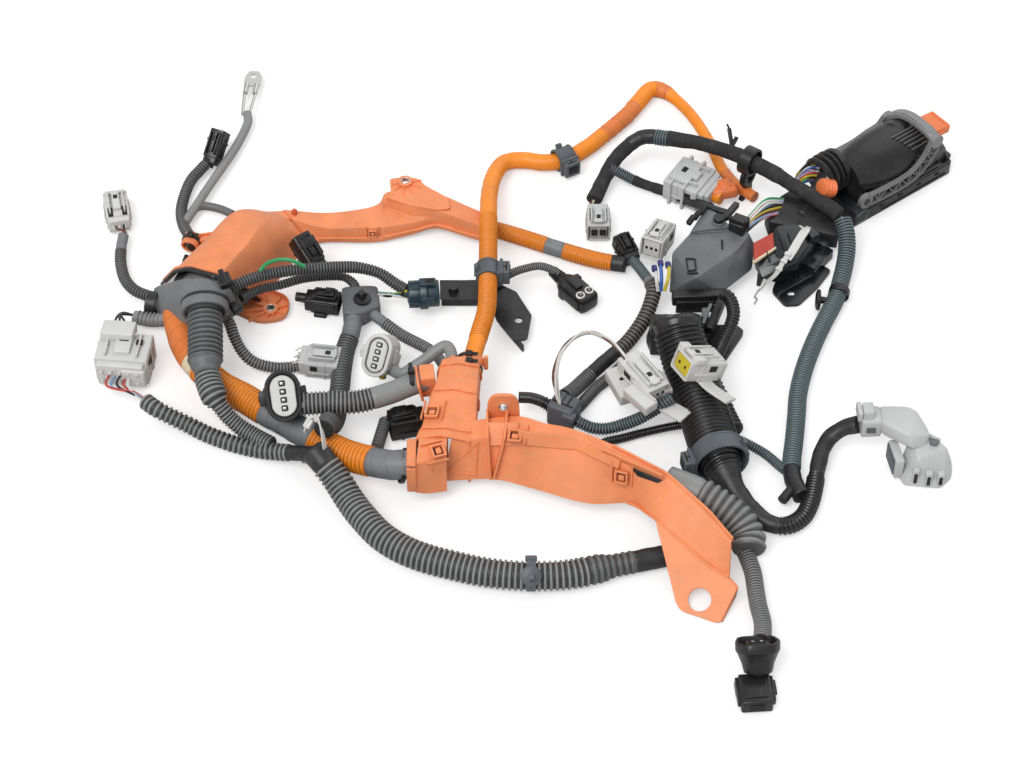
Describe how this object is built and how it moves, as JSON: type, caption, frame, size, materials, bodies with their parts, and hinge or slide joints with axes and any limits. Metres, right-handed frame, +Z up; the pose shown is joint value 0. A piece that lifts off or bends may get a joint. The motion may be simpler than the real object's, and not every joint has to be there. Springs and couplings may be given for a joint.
{
  "type": "vehicle wiring harness",
  "caption": "Loose engine-room wiring harness with orange high-voltage cables, grey and black corrugated conduits, moulded cable guards, lever connector and small plugs.",
  "frame": {"origin": "centre of the laid-out harness's bounding box, on the floor", "axes": "+X to the right along the harness, +Y towards the rear edge with the ring terminals and lever connector, +Z up from the floor it lies on"},
  "size_m": [0.8143, 0.7739, 0.0829],
  "materials": {
    "guard_orange": "satin moulded plastic",
    "cable_orange": "satin corrugated tube and tape",
    "conduit_grey": "corrugated tube and tape",
    "conduit_blue_grey": "corrugated tube",
    "conduit_black": "glossy convoluted tube",
    "foam_black": "matte foam tape",
    "clip_grey": "satin",
    "plug_black": "satin",
    "plug_white": "satin",
    "plug_pale_grey": "satin, slightly translucent",
    "plug_dark_teal": "satin",
    "lever_grey": "satin",
    "tinned_steel": "tinned",
    "wire_pale": "wire sheath"
  },
  "bodies": {
    "root": {"bellows_boot": "plug_black", "black_cross_conduit": "conduit_black", "black_loop": "conduit_black", "black_thin_conduit": "conduit_black", "black_trunk": "conduit_black", "centre_conduit": "conduit_grey", "centre_junction": "conduit_grey", "centre_second_conduit": "conduit_grey", "clear_left_connector": "plug_pale_grey", "disc_clip": "clip_grey", "elbow_connector": "plug_pale_grey", "foam_loom": "foam_black", "folded_bracket": "plug_black", "front_connector": "plug_black", "front_guard": "guard_orange", "fuse_housing": "plug_black", "grey_end_loom": "conduit_grey", "hv_lower_cable": "cable_orange", "hv_rear_cable": "cable_orange", "hv_upper_cable": "cable_orange", "junction_cover": "clip_grey", "large_clear_connector": "plug_pale_grey", "large_white_connector": "plug_white", "left_hub": "conduit_grey", "left_loom": "conduit_grey", "lock_tab": "guard_orange", "loom_clamp": "plug_black", "lower_left_conduit": "conduit_grey", "lower_plug": "plug_black", "main_loom": "conduit_grey", "multiway_housing": "plug_black", "oval_black_connector": "plug_black", "oval_lead": "conduit_grey", "oval_white_connector": "plug_white", "rear_cable_clip": "clip_grey", "rear_guard": "guard_orange", "rear_left_loom": "conduit_grey", "rear_plug": "plug_black", "right_hose": "conduit_blue_grey", "ring_terminals": "tinned_steel", "round_connector": "plug_dark_teal", "slide_plate": "plug_black", "small_black_connector": "plug_black", "small_block_connector": "plug_black", "small_clear_connector": "plug_pale_grey", "small_left_conduit": "conduit_grey", "smooth_sleeve": "conduit_grey", "support_frame": "plug_black", "three_way_connector": "plug_white", "trunk_clip": "clip_grey", "truss_lever": "lever_grey", "two_pin_connector": "plug_black", "two_way_connector": "plug_black", "upper_cable_clip": "clip_grey", "white_block_connector": "plug_white", "white_connector_group": "plug_white", "wire_arch": "wire_pale", "wire_clip": "clip_grey", "yellow_insert_connector": "plug_white"}
  },
  "joints": []
}
